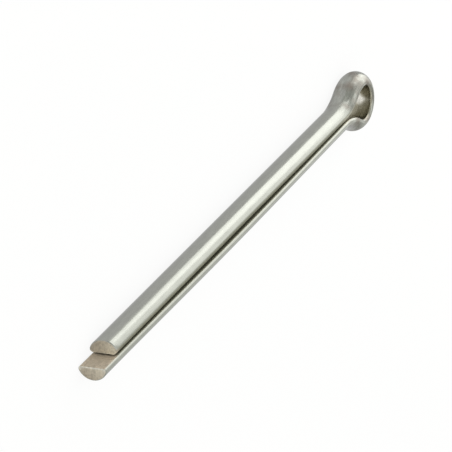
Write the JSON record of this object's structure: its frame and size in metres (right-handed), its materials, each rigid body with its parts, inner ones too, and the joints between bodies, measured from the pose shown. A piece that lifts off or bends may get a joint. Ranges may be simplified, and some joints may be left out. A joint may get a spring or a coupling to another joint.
{
  "type": "split cotter pin",
  "caption": "Split cotter pin of half-round steel wire, folded into an open eye, with its flat-faced prongs lying together as a round shank that ends at different lengths.",
  "frame": {"origin": "on the shank's axis, where the short prong leaves the neck of the eye", "axes": "+X along the shank from the neck towards the prong tips, +Y towards the long prong, +Z along the axis of the eye, which is up as the pin lies"},
  "size_m": [0.0969, 0.0092, 0.0042],
  "materials": {
    "steel_wire": "bright drawn steel wire with sheared ends"
  },
  "bodies": {
    "root": {"cotter_pin": "steel_wire"}
  },
  "joints": []
}
